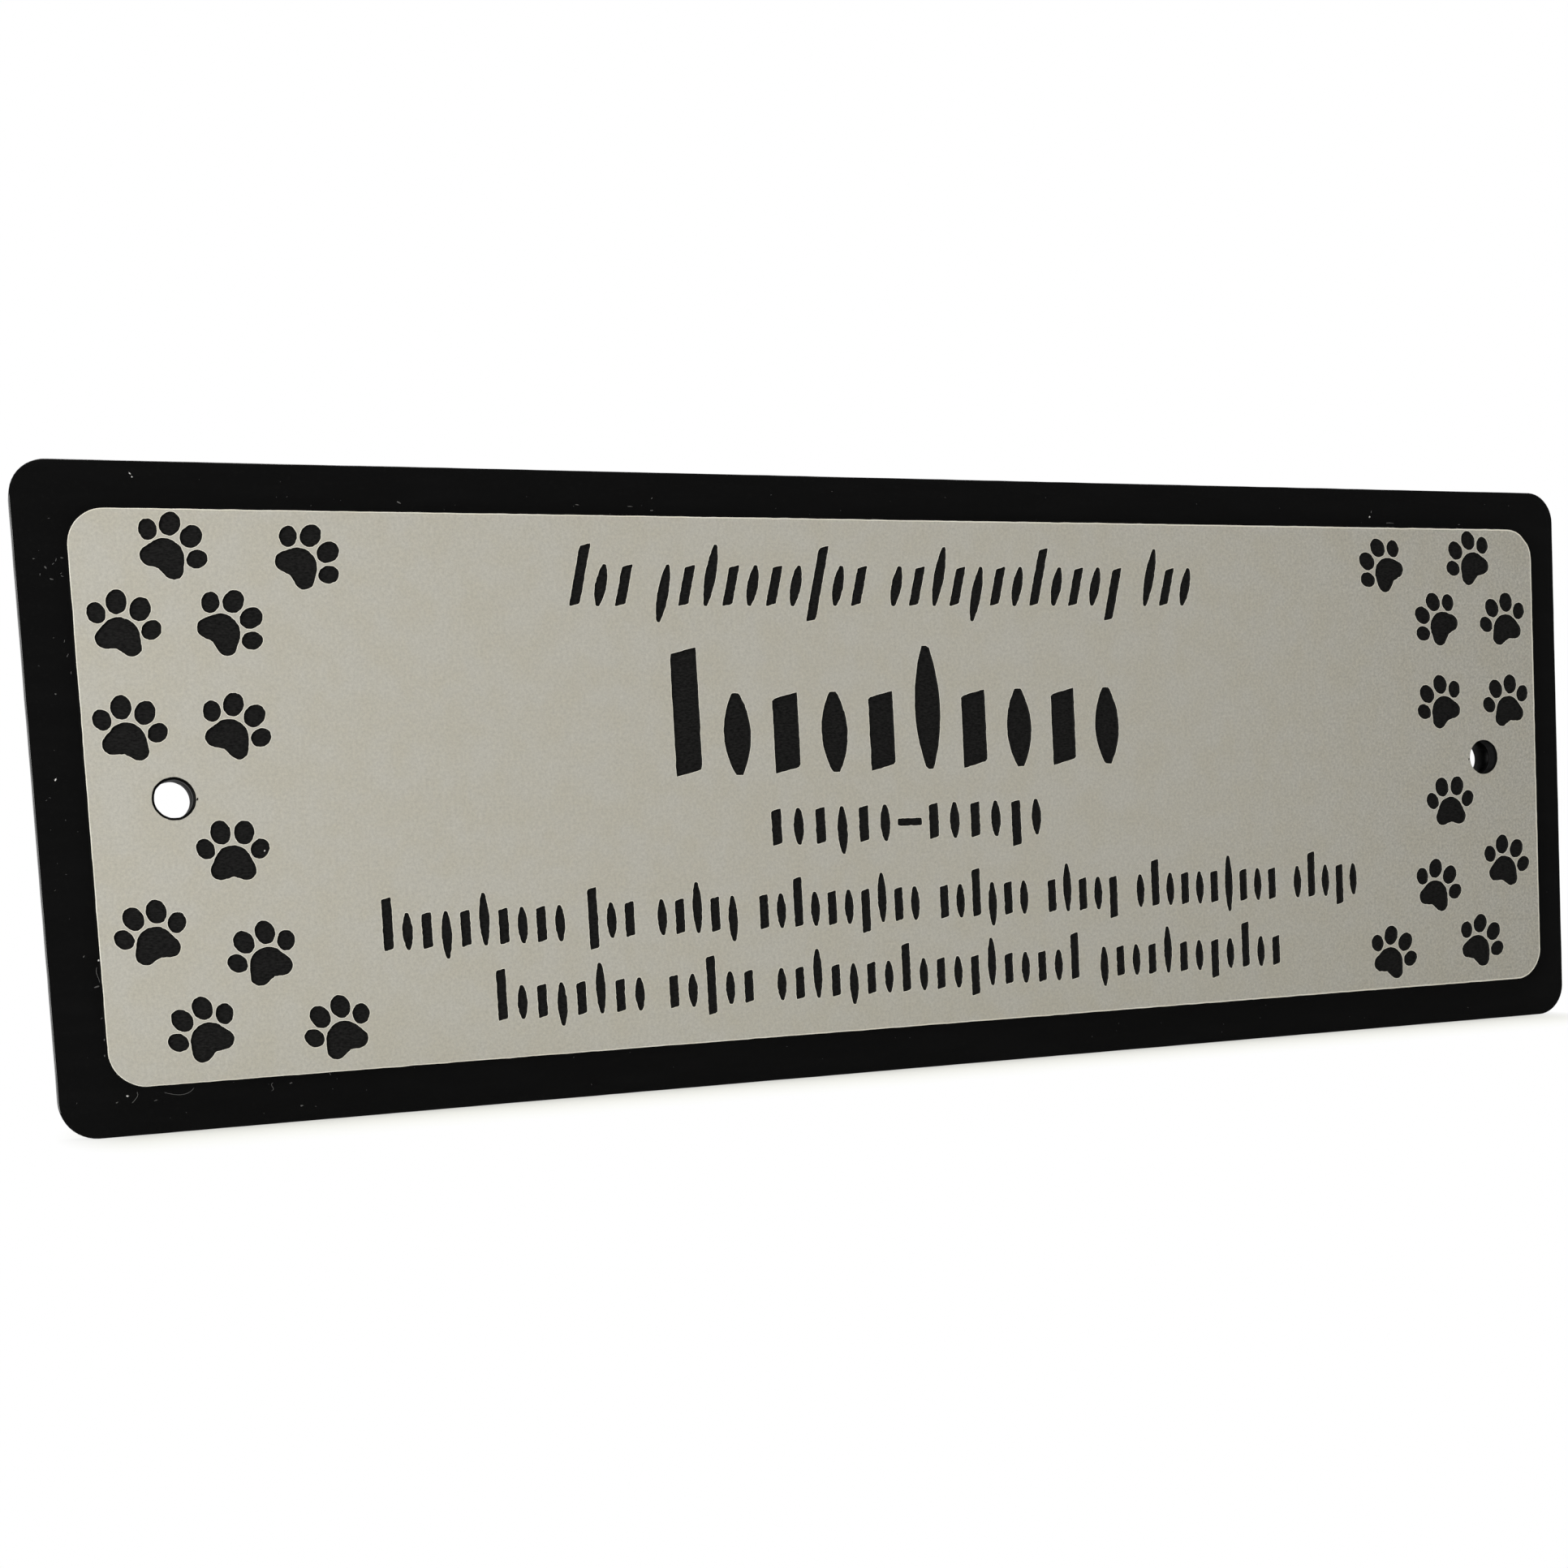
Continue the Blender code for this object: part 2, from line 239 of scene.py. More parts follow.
# A grain of dust: its place across and up from the plaque's middle, its length and width in
# millimetres, and its turn in degrees
Speck = namedtuple("Speck", "x z length width turn")
BRIGHT_SPECKS = (
    Speck(-92.9, -31.4, 0.28, 0.26, 0.0),
    Speck(-94.7, -16.7, 0.27, 0.24, 40.0),
    Speck(-97.6, 2.5, 0.34, 0.20, 60.0),
    Speck(-87.7, 34.35, 0.28, 0.13, -50.0),
    Speck(-87.5, 34.0, 0.20, 0.16, 20.0),
    Speck(69.8, 32.1, 0.30, 0.22, 45.0),
)
SOFT_SPECKS = (
    Speck(-98.0, 25.4, 0.30, 0.10, 5.0),
    Speck(-95.8, 25.3, 0.34, 0.09, 70.0),
    Speck(-96.1, 24.9, 0.30, 0.09, 35.0),
    Speck(-95.2, 25.5, 0.36, 0.12, -10.0),
    Speck(-96.9, 24.5, 0.38, 0.15, -55.0),
    Speck(-96.4, 23.3, 0.40, 0.14, -15.0),
    Speck(-95.3, 23.6, 0.34, 0.11, -20.0),
    Speck(-95.4, 23.9, 0.26, 0.09, 30.0),
    Speck(-97.5, 23.8, 0.26, 0.09, 80.0),
    Speck(-96.2, -16.2, 0.28, 0.12, 60.0),
    Speck(-95.1, -19.5, 0.62, 0.16, 12.0),
    Speck(-94.8, -25.2, 0.26, 0.16, 65.0),
    Speck(-94.9, -26.9, 0.24, 0.15, 80.0),
    Speck(-94.9, -22.9, 0.34, 0.09, 25.0),
    Speck(-94.2, -28.2, 0.26, 0.12, -45.0),
    Speck(-94.0, -32.0, 0.26, 0.14, 20.0),
    Speck(-90.0, -32.1, 0.42, 0.10, 15.0),
    Speck(-75.6, -31.4, 0.34, 0.12, 10.0),
    Speck(-74.6, -34.0, 0.36, 0.16, 5.0),
    Speck(-71.3, -30.7, 0.40, 0.09, -60.0),
    Speck(-59.3, 31.8, 0.52, 0.16, -30.0),
    Speck(-38.9, 31.9, 0.50, 0.12, -8.0),
    Speck(-32.6, 31.8, 0.70, 0.10, -3.0),
    Speck(-30.0, 31.4, 0.40, 0.13, 4.0),
    Speck(-29.9, 32.8, 0.24, 0.12, 50.0),
    Speck(-95.6, 16.9, 0.40, 0.09, 75.0),
    Speck(-95.4, 15.4, 0.40, 0.09, 60.0),
    Speck(-95.2, 13.6, 0.34, 0.09, 85.0),
    Speck(-96.9, 11.4, 0.22, 0.18, 0.0),
    Speck(70.1, 32.8, 0.44, 0.09, 75.0),
    Speck(73.0, 31.35, 1.30, 0.11, -2.0),
    Speck(84.3, 31.3, 0.40, 0.12, 0.0),
)
# Hairs, each as the points that it passes, in the same millimetres
FIBRES = (
    ((-89.1, -31.3), (-88.1, -31.6), (-87.0, -31.7), (-86.5, -31.5), (-85.9, -31.0)),
    ((-91.9, -31.0), (-91.85, -31.4), (-92.1, -31.8), (-92.5, -32.2)),
    ((-77.5, -31.2), (-77.7, -31.5), (-77.55, -31.8), (-77.8, -32.1)),
    ((-94.95, -17.4), (-95.05, -18.0), (-94.9, -18.6), (-94.8, -19.1)),
)
# Torn shreds of skin at the rims of the screw holes, and a pale crumb in an engraved toe
BURRS = (Speck(-83.5, -0.15, 0.36, 0.20, 60.0), Speck(83.45, -0.25, 0.34, 0.18, 75.0))
CRUMB = Speck(-76.8, -5.9, 0.20, 0.17, 30.0)

# Loose dust: how many grains fall on the whole board before those on the plate are left out, the share
# that stays at the right end, how long and wide a grain is, and how far it keeps from the plate and
# from the board's edge, all in millimetres
LOOSE_GRAINS = 1000
RIGHT_END_SHARE = 0.3
GRAIN_LENGTHS = (0.06, 0.24)
GRAIN_WIDTH = 0.08
PLATE_CLEARANCE = 0.3
EDGE_CLEARANCE = 1.2

# How high each kind of dust stands, and the seed of its shapes and places
BRIGHT_HEIGHT = 0.08 * MM
SOFT_HEIGHT = 0.05 * MM
FAINT_HEIGHT = 0.03 * MM
BURR_HEIGHT = 0.03 * MM
CRUMB_HEIGHT = 0.06 * MM
DUST_SEED = 31

# A grain's profile as pairs of a share of its outline and a share of its height, from below its level
# to its top, and how uneven its outline is
GRAIN_PROFILE = ((0.0, -0.1), (1.0, -0.1), (0.85, 0.5), (0.5, 0.9), (0.0, 1.0))
GRAIN_UNEVENNESS = (0.75, 1.25)

# A hair: its radius, how high its middle lies in shares of that, and how late it tapers
FIBRE_RADIUS = 0.035 * MM
FIBRE_LIFT = 0.8
FIBRE_TAPER = 8
FIBRE_STATIONS = 28

# Points nearer to each other than this are welded
WELD = 0.0005 * MM

# The floor reaches this far each way, and is lost in the white surroundings this far from the board.
# Its shade starts short of the board's ends, and fades faster past them. Even at the board, the white
# has a share in it.
FLOOR_REACH = 6.0
FLOOR_COLOR = (0.92, 0.94, 0.78, 1.0)
FLOOR_FADE = 0.024
SHADE_INSET = Vector((0.009, 0.0, 0.0))
SHADE_STRETCH = (2.5, 1.0, 1.0)
SHADE_START = 0.4

# The white surroundings as the plaque sees them: dim in front of it and bright behind it, with the
# stretch of Y where the one turns into the other, and partly bright over a stretch of Z above it
ROOM_IN_FRONT = 0.05
ROOM_BEHIND = 0.5
BEHIND_STRETCH = (-0.35, 0.25)
ABOVE_STRETCH = (0.35, 0.9)
ABOVE_SHARE = 0.6

# A soft square light: its place, the point that it faces, its side, its power in watts and its colour
Light = namedtuple("Light", "name place aim size power color")
MIDDLE = (0.0, 0.0, 0.0)
LIGHTS = (
    Light("key", (-0.68, -0.50, 0.0), MIDDLE, 0.45, 8.5, (0.985, 0.99, 0.975)),
    Light("front_top", (-0.1, -0.45, 0.95), MIDDLE, 0.5, 3.0, (1.0, 0.96, 0.88)),
    Light("back_top", (0.0, 0.09, 0.9), MIDDLE, 0.2, 3.2, (1.0, 1.0, 1.0)),
)

# The camera, as fitted to the photo's edges: its lens, vertical shift, place and turn in degrees
SENSOR_WIDTH = 36.0
FOCAL_LENGTH = 48.41
VERTICAL_SHIFT = 0.1832
CAMERA_PLACE = (-108.01 * MM, -238.96 * MM, -13.91 * MM)
CAMERA_TURN = (85.285, 3.048, -21.267)


def new_material(name):
    """A new node material, its node tree and its Principled shader."""
    material = bpy.data.materials.new(name)
    material.use_nodes = True
    return material, material.node_tree, material.node_tree.nodes["Principled BSDF"]


def add_node(tree, kind, inputs=None, **settings):
    """A shader node with its settings, and its inputs by name: a socket is linked, a value is set."""
    made = tree.nodes.new("ShaderNode" + kind)
    for name, value in settings.items():
        setattr(made, name, value)
    for name, value in (inputs or {}).items():
        if isinstance(value, bpy.types.NodeSocket):
            tree.links.new(value, made.inputs[name])
        else:
            made.inputs[name].default_value = value
    return made


def object_place(tree, stretch=(1.0, 1.0, 1.0)):
    """Object coordinates, stretched along each axis."""
    place = add_node(tree, "TexCoord").outputs["Object"]
    return add_node(tree, "Mapping", {"Vector": place, "Scale": stretch}).outputs["Vector"]


def noise(tree, place, feature, detail=2.0, roughness=0.5):
    """Noise from 0 to 1 whose patches are about as wide as feature, in metres."""
    inputs = {"Vector": place, "Scale": 1.0 / feature, "Detail": detail, "Roughness": roughness}
    return add_node(tree, "TexNoise", inputs).outputs["Fac"]


def remap(tree, value, low, high, to_low=0.0, to_high=1.0):
    """A value taken from one range to another, held inside the second."""
    inputs = {"Value": value, "From Min": low, "From Max": high, "To Min": to_low, "To Max": to_high}
    return add_node(tree, "MapRange", inputs).outputs["Result"]


def blend_color(tree, share, first, second):
    """Two colours mixed, the second by its share."""
    mixer = add_node(tree, "Mix", data_type="RGBA")
    for number, value in ((0, share), (6, first), (7, second)):
        if isinstance(value, bpy.types.NodeSocket):
            tree.links.new(value, mixer.inputs[number])
        else:
            mixer.inputs[number].default_value = value
    return mixer.outputs[2]


def grey(level, warmth=0.0):
    """A colour of one level, warmer by a share."""
    return (level * (1 + warmth), level, level * (1 - 2 * warmth), 1.0)


def raise_surface(tree, shader, height, strength, distance):
    """Bump on a shader from a height from 0 to 1."""
    bump = add_node(tree, "Bump", {"Height": height, "Strength": strength, "Distance": distance})
    tree.links.new(bump.outputs["Normal"], shader.inputs["Normal"])


def satin_silver(name, silver):
    """Silver laminate skin: warm grey, with faint warm and cool patches and a fine grain that grows
    stronger towards the right end, by the square of the way there, so that the skin is also darker there."""
    material, tree, shader = new_material(name)
    place = object_place(tree)
    grain = noise(tree, place, SILVER_GRAIN, detail=4.0, roughness=0.75)
    way = remap(tree, add_node(tree, "SeparateXYZ", {"Vector": place}).outputs["X"], *GRAIN_ENDS)
    squared = add_node(tree, "Math", {0: way, 1: way}, operation="MULTIPLY").outputs["Value"]
    speckle = remap(tree, squared, 0.0, 1.0, silver.left_grain, silver.right_grain)
    patches = noise(tree, place, SILVER_PATCH, detail=3.0, roughness=0.6)
    warm, cool, dark = (
        tuple(share * silver.level * part for part in tint) + (1.0,)
        for share, tint in ((1.0, WARM_SILVER), (COOL_LEVEL, COOL_SILVER), (DARK_LEVEL, WARM_SILVER))
    )
    base = blend_color(tree, remap(tree, patches, 0.38, 0.62), warm, cool)
    color = blend_color(tree, remap(tree, grain, 0.3, 0.7, 0.0, speckle), base, dark)
    tree.links.new(color, shader.inputs["Base Color"])
    shader.inputs["Metallic"].default_value = SILVER_METALLIC
    rough = remap(tree, grain, 0.3, 0.7, *SILVER_ROUGHNESS)
    tree.links.new(rough, shader.inputs["Roughness"])
    raise_surface(tree, shader, grain, 0.25, 0.01 * MM)
    return material


def black_core(name, core):
    """The laminate's black core where it is cut open: dark, with faint mottling."""
    material, tree, shader = new_material(name)
    place = object_place(tree, (1.0, 1.0, 2.5))
    mottle = noise(tree, place, core.mottle, detail=4.0, roughness=0.65)
    dark, pale = grey(core.level * 0.3), grey(core.level * 2.4, 0.02)
    color = blend_color(tree, remap(tree, mottle, 0.35, 0.7), dark, pale)
    tree.links.new(color, shader.inputs["Base Color"])
    rough = remap(tree, mottle, 0.3, 0.7, core.roughness - 0.1, core.roughness + 0.1)
    tree.links.new(rough, shader.inputs["Roughness"])
    shader.inputs["Specular IOR Level"].default_value = core.gloss
    raise_surface(tree, shader, mottle, 0.5, BLACK_BUMP)
    return material


def charred_bore(name):
    """Laser-cut hole wall: soot black, with paler streaks along the cut."""
    material, tree, shader = new_material(name)
    place = object_place(tree, (1.0, 0.12, 1.0))
    streaks = noise(tree, place, 0.25 * MM, detail=3.0, roughness=0.6)
    color = blend_color(tree, remap(tree, streaks, 0.5, 0.8), *map(grey, CHAR_LEVELS))
    tree.links.new(color, shader.inputs["Base Color"])
    shader.inputs["Roughness"].default_value = CHAR_ROUGHNESS
    shader.inputs["Specular IOR Level"].default_value = CHAR_GLOSS
    raise_surface(tree, shader, streaks, 0.6, BLACK_BUMP)
    return material


def black_gloss(name):
    """Black acrylic: high gloss, with a faint film of fine dust and hair-fine rubbing marks."""
    material, tree, shader = new_material(name)
    wiped = object_place(tree, (1.0, 1.0, 6.0))
    film = remap(tree, noise(tree, wiped, 9.0 * MM, detail=4.0), 0.45, 0.8, 0.0, 0.5)
    cloud = noise(tree, object_place(tree), 0.5 * MM, detail=3.0, roughness=0.7)
    base = blend_color(tree, film, *map(grey, ACRYLIC_LEVELS))
    dusted = remap(tree, cloud, 0.55, 0.8, 0.0, 0.5)
    color = blend_color(tree, dusted, base, grey(FINE_DUST_LEVEL, 0.02))
    tree.links.new(color, shader.inputs["Base Color"])
    rubbed = noise(tree, wiped, 0.9 * MM, detail=3.0)
    rough = remap(tree, rubbed, 0.4, 0.7, *ACRYLIC_ROUGHNESS)
    tree.links.new(rough, shader.inputs["Roughness"])
    shader.inputs["Specular IOR Level"].default_value = ACRYLIC_GLOSS
    return material


def cut_acrylic(name):
    """Laser-cut acrylic edge: glossy, with fine ripples across the sheet."""
    material, tree, shader = new_material(name)
    ripples = noise(tree, object_place(tree, (1.0, 0.1, 1.0)), 0.6 * MM)
    shader.inputs["Base Color"].default_value = grey(CUT_ACRYLIC_LEVEL)
    shader.inputs["Roughness"].default_value = CUT_ACRYLIC_ROUGHNESS
    raise_surface(tree, shader, ripples, 0.4, BLACK_BUMP)
    return material


def pale_dust(name, level):
    """Dust: a pale matt grey."""
    material, tree, shader = new_material(name)
    tint = noise(tree, object_place(tree), 0.1 * MM)
    color = blend_color(tree, tint, grey(level * 0.6), grey(level, 0.03))
    tree.links.new(color, shader.inputs["Base Color"])
    shader.inputs["Roughness"].default_value = 0.8
    return material


def bond_film(name):
    """The dark adhesive film between the sheets."""
    material, tree, shader = new_material(name)
    tint = noise(tree, object_place(tree), 0.5 * MM)
    color = blend_color(tree, tint, *map(grey, ADHESIVE_LEVELS))
    tree.links.new(color, shader.inputs["Base Color"])
    shader.inputs["Roughness"].default_value = 0.5
    return material


def outward_normals(outline):
    """Unit normals of an anticlockwise closed outline: each chord between neighbours, turned right."""
    chord = np.roll(outline, -1, axis=0) - np.roll(outline, 1, axis=0)
    normal = np.stack([chord[:, 1], -chord[:, 0]], axis=1)
    return normal / np.linalg.norm(normal, axis=1, keepdims=True)


def even_steps(corners, count):
    """A closed outline walked in equal steps: both coordinates read off at even running lengths."""
    closed = np.vstack([corners, corners[:1]])
    run = np.concatenate([[0.0], np.cumsum(np.linalg.norm(np.diff(closed, axis=0), axis=1))])
    at = np.linspace(0.0, run[-1], count, endpoint=False)
    return np.stack([np.interp(at, run, closed[:, 0]), np.interp(at, run, closed[:, 1])], axis=1)


def softened(outline, radius):
    """An outline averaged along its length under a bell curve of a radius, which rounds its corners."""
    step = np.linalg.norm(np.roll(outline, -1, axis=0) - outline, axis=1).mean()
    waves = np.fft.rfftfreq(len(outline))
    keep = np.exp(-0.5 * (2 * np.pi * waves * radius / step) ** 2)
    return np.fft.irfft(np.fft.rfft(outline, axis=0) * keep[:, None], len(outline), axis=0)


def wandering(outline, amount, wave, seed):
    """An outline moved along its normals by seeded random waves, no shorter than wave."""
    length = np.linalg.norm(np.roll(outline, -1, axis=0) - outline, axis=1).sum()
    order = np.arange(len(outline) // 2 + 1)
    phase = np.random.default_rng(seed).uniform(0.0, 2 * np.pi, len(order))
    strength = np.exp(-((order * wave / length) ** 2)) * (order > 0)
    ripple = np.fft.irfft(strength * np.exp(1j * phase), len(outline))
    return outline + (amount * ripple / ripple.std())[:, None] * outward_normals(outline)


def cut_along(drawn, cut):
    """A drawn outline as it is cut: it wanders, and is worn in along the drawn normals."""
    return wandering(drawn, cut.wander, cut.wave, cut.seed) - cut.worn * outward_normals(drawn)


def placed(outline, center, turn, size):
    """An outline scaled, turned in degrees and moved to a place."""
    across, along = np.cos(np.radians(turn)), np.sin(np.radians(turn))
    return np.asarray(center) + size * outline @ np.array([[across, along], [-along, across]])


def arc(center, radius, start, end, steps=48):
    """Points of a circle about a centre, from one angle to another in degrees."""
    angle = np.radians(np.linspace(start, end, steps + 1))
    return np.asarray(center) + radius * np.stack([np.cos(angle), np.sin(angle)], axis=1)


def rounded_rectangle(half_width, half_height, radius, count):
    """A rectangle about the origin with round corners: four quarter arcs joined by straight sides."""
    signs = np.array([(1, 1), (-1, 1), (-1, -1), (1, -1)])
    centers = signs * (half_width - radius, half_height - radius)
    corners = [arc(center, radius, 90.0 * k, 90.0 * k + 90.0) for k, center in enumerate(centers)]
    return even_steps(np.vstack(corners), count)


def circle(center, radius, count):
    """A circle in equal steps."""
    return arc(center, radius, 0.0, 360.0, count)[:-1]


def toe_outline(toe, side):
    """An ellipse that leans outward, on one side of the paw print."""
    ellipse = circle((0.0, 0.0), 1.0, TOE_STEPS) * (toe.half_width, toe.half_length)
    return placed(ellipse, (side * toe.beside, toe.above), -side * toe.lean, 1.0)


def pad_outline():
    """The pad: a dome arc tangent to a lobe arc on each side, and a notch between the lobes."""
    reach = np.hypot(PAD_LOBE_BESIDE, PAD_LOBE_BELOW)
    fall = np.degrees(np.arctan2(PAD_LOBE_BELOW, PAD_LOBE_BESIDE))
    tangent = np.degrees(np.arccos((PAD_DOME_RADIUS - PAD_LOBE_RADIUS) / reach)) - fall
    right_lobe = arc((PAD_LOBE_BESIDE, -PAD_DROP - PAD_LOBE_BELOW), PAD_LOBE_RADIUS, -115.0, tangent)
    left_lobe = right_lobe[::-1] * (-1.0, 1.0)
    dome = arc((0.0, -PAD_DROP), PAD_DOME_RADIUS, tangent, 180.0 - tangent)
    notch = np.array([[0.0, -PAD_DROP - PAD_NOTCH_BELOW]])
    return even_steps(np.vstack([notch, right_lobe, dome[1:-1], left_lobe]), PAD_STEPS)


def paw_outlines():
    """Every pad and toe of the paw prints at both ends of the plate."""
    shapes = [pad_outline()]
    for side in (-1, 1):
        shapes += [toe_outline(OUTER_TOE, side), toe_outline(INNER_TOE, side)]
    room_across = PAW_FIELD_WIDTH - PAW_SPAN - PAW_EDGE_MARGIN
    room_up = PLATE_HEIGHT / 2 - PAW_SPAN / 2 - PAW_EDGE_MARGIN
    outlines = []
    for side in (-1, 1):
        for paw in PRINTS:
            inset = PAW_EDGE_MARGIN + PAW_SPAN / 2 + paw.inward * room_across
            center = (side * (PLATE_WIDTH / 2 - inset), paw.up * room_up)
            outlines += [placed(shape, center, -side * paw.turn, PAW_SPAN) for shape in shapes]
    return outlines


def stem_outline(x, foot, top, width, slant):
    """A straight stroke with a chisel cut at both ends."""
    cut_height = STEM_TIP_CUT * width
    lean = slant * (top - foot)
    corners = [
        (x - width / 2, foot),
        (x + width / 2, foot + cut_height),
        (x + width / 2 + lean, top),
        (x - width / 2 + lean, top - cut_height),
    ]
    return even_steps(np.array(corners), STROKE_STEPS)


def spindle_outline(x, foot, top, width, slant):
    """A stroke that narrows to both tips: tip + (1 - tip) * (1 - (2 s - 1)^2) of its width at share s."""
    share = np.linspace(0.0, 1.0, SPINDLE_STATIONS)
    swell = SPINDLE_TIP + (1 - SPINDLE_TIP) * (1 - (2 * share - 1) ** 2)
    middle = x + slant * share * (top - foot)
    level = foot + share * (top - foot)
    right = np.stack([middle + swell * width / 2, level], axis=1)
    left = np.stack([middle - swell * width / 2, level], axis=1)
    return even_steps(np.vstack([right, left[::-1]]), STROKE_STEPS)


def row_outlines(row):
    """One row of strokes: stems and spindles in turn, some taller and some lower."""
    length = row.length * (PLATE_WIDTH - 2 * PAW_FIELD_WIDTH)
    gap = max(GROUP_GAP, row.dash + DASH_CLEARANCE)
    pitch = length / (sum(row.groups) + gap * (len(row.groups) - 1))
    width = row.weight * pitch
    foot, top = row.foot * PLATE_HEIGHT, (row.foot + row.height) * PLATE_HEIGHT
    index = np.arange(sum(row.groups))
    groups_before = np.repeat(np.arange(len(row.groups)), row.groups)
    rise = np.where(index % TALL_EVERY == 0, row.rise * PLATE_HEIGHT, 0.0)
    drop = np.where(index % LOW_EVERY == LOW_START, row.drop * PLATE_HEIGHT, 0.0)
    start = -length / 2 + pitch * (0.5 + index + gap * groups_before)
    start = start - row.slant * ((top - foot) / 2 + drop)
    outlines = []
    for number, x, low, high in zip(index, start, foot - drop, top + rise):
        if number % 2 == 0:
            outlines.append(stem_outline(x, low, high, width, row.slant))
        else:
            outlines.append(spindle_outline(x, low, high, SPINDLE_WEIGHT * width, row.slant))
    if row.dash:
        end = row.dash * pitch / 2
        low = (top + foot) / 2 - DASH_THICKNESS * (top - foot) / 2
        high = (top + foot) / 2 + DASH_THICKNESS * (top - foot) / 2
        dash = np.array([(-end, low), (end, low), (end, high), (-end, high)])
        outlines.append(even_steps(dash, STROKE_STEPS))
    return outlines


def engraved_outlines():
    """The outline of every engraved mark, as the laser leaves it."""
    drawn = paw_outlines()
    for row in ROWS:
        drawn += row_outlines(row)
    softer = [softened(outline, BEAM_ROUNDING) for outline in drawn]
    wider = [outline + BEAM_GROWTH * outward_normals(outline) for outline in softer]
    return [wandering(outline, BEAM_WANDER, BEAM_WAVE, seed) for seed, outline in enumerate(wider)]


class Shell:
    """Surfaces gathered as arrays, each with its material, and made into one closed mesh."""

    def __init__(self):
        self.points, self.faces, self.slots, self.smooth = [], [], [], []
        self.count = 0

    def add(self, points, faces, slot, smooth):
        """Points as an (n, 3) array and faces as an (m, 3 or 4) array of their numbers."""
        self.points.append(points)
        self.faces += (faces + self.count).tolist()
        self.slots.append(np.full(len(faces), slot))
        self.smooth.append(np.full(len(faces), smooth))
        self.count += len(points)

    def band(self, outline, profile, front, slot, smooth=True):
        """A profile carried round an outline: point (i, k) is outline point k moved out along its
        normal by the profile's move i, and back from the front by the profile's depth i."""
        move, depth = np.array(profile).T
        flat = outline[None] + move[:, None, None] * outward_normals(outline)[None]
        self.rings(flat, np.broadcast_to(front + depth[:, None], flat.shape[:2]), slot, smooth)

    def rings(self, flat, level, slot, smooth=True):
        """Closed rings of points, each joined to the next by quads: flat holds X and Z, level holds Y."""
        points = np.stack([flat[..., 0], level, flat[..., 1]], axis=-1).reshape(-1, 3)
        rows, columns = flat.shape[:2]
        here = np.arange(columns)[None] + columns * np.arange(rows - 1)[:, None]
        after = np.roll(here, -1, axis=1)
        quads = np.stack([here, here + columns, after + columns, after], axis=-1).reshape(-1, 4)
        self.add(points, quads, slot, smooth)

    def lump(self, speck, height, front, slot, generator):
        """A low grain on a level: an uneven ellipse drawn in to its middle by shares as it rises."""
        shares, rises = np.array(GRAIN_PROFILE).T
        uneven = generator.uniform(*GRAIN_UNEVENNESS, (GRAIN_STEPS, 1))
        ellipse = uneven * circle((0.0, 0.0), 0.5, GRAIN_STEPS) * (speck.length, speck.width)
        rim = placed(ellipse, (0.0, 0.0), speck.turn, MM)
        flat = MM * np.array([speck.x, speck.z]) + shares[:, None, None] * rim[None]
        self.rings(flat, np.broadcast_to((front - height * rises)[:, None], flat.shape[:2]), slot)

    def hair(self, passed, radius, front, slot):
        """A thin hair on a level: a hexagon carried along a smooth path, tapering to nothing at both
        ends. The path is a polynomial through the passed points, over their running length."""
        passed = MM * np.array(passed)
        run = np.concatenate([[0.0], np.cumsum(np.linalg.norm(np.diff(passed, axis=0), axis=1))])
        share = np.linspace(0.0, 1.0, FIBRE_STATIONS)
        curves = [np.polyfit(run / run[-1], side, 3) for side in passed.T]
        path = np.stack([np.polyval(curve, share) for curve in curves], axis=1)
        along = np.gradient(path, axis=0)
        across = np.stack([along[:, 1], -along[:, 0]], axis=1)
        across /= np.linalg.norm(across, axis=1, keepdims=True)
        thick = radius * np.sqrt(1 - (2 * share - 1) ** FIBRE_TAPER)[:, None]
        angle = np.radians(np.arange(0.0, 360.0, 60.0))
        flat = path[:, None] + (thick * np.cos(angle))[..., None] * across[:, None]
        self.rings(flat, front - FIBRE_LIFT * radius - thick * np.sin(angle), slot)

    def sheet(self, outlines, level, slot):
        """The flat sheet at one level: Delaunay triangles that lie inside just one of the outlines, so
        that an outline within another one is left open."""
        points = np.vstack(outlines) / MM
        ends = np.cumsum([len(outline) for outline in outlines])
        loops = [indices.tolist() for indices in np.split(np.arange(ends[-1]), ends[:-1])]
        found = delaunay_2d_cdt(points.tolist(), [], loops, 1, 1e-6, True)
        flat, faces, inside = np.array(found[0]) * MM, np.array(found[2]), found[5]
        once = np.array([len(around) == 1 for around in inside])
        solid = np.stack([flat[:, 0], np.full(len(flat), level), flat[:, 1]], axis=1)
        self.add(solid, faces[once], slot, False)

    def piece(self, name, materials, stands_for=()):
        """The gathered surfaces as one object: seams welded, faces turned outward, riding on the plaque."""
        mesh = bpy.data.meshes.new(name)
        mesh.from_pydata(np.vstack(self.points).tolist(), [], self.faces)
        mesh.polygons.foreach_set("material_index", np.concatenate(self.slots).astype(np.int32))
        mesh.polygons.foreach_set("use_smooth", np.concatenate(self.smooth))
        for material in materials:
            mesh.materials.append(material)
        edit = bmesh.new()
        edit.from_mesh(mesh)
        bmesh.ops.remove_doubles(edit, verts=edit.verts, dist=WELD)
        bmesh.ops.recalc_face_normals(edit, faces=edit.faces)
        edit.to_mesh(mesh)
        edit.free()
        made = bpy.data.objects.new(name, mesh)
        bpy.context.scene.collection.objects.link(made)
        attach(made, "root")
        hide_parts(*stands_for)
        return made


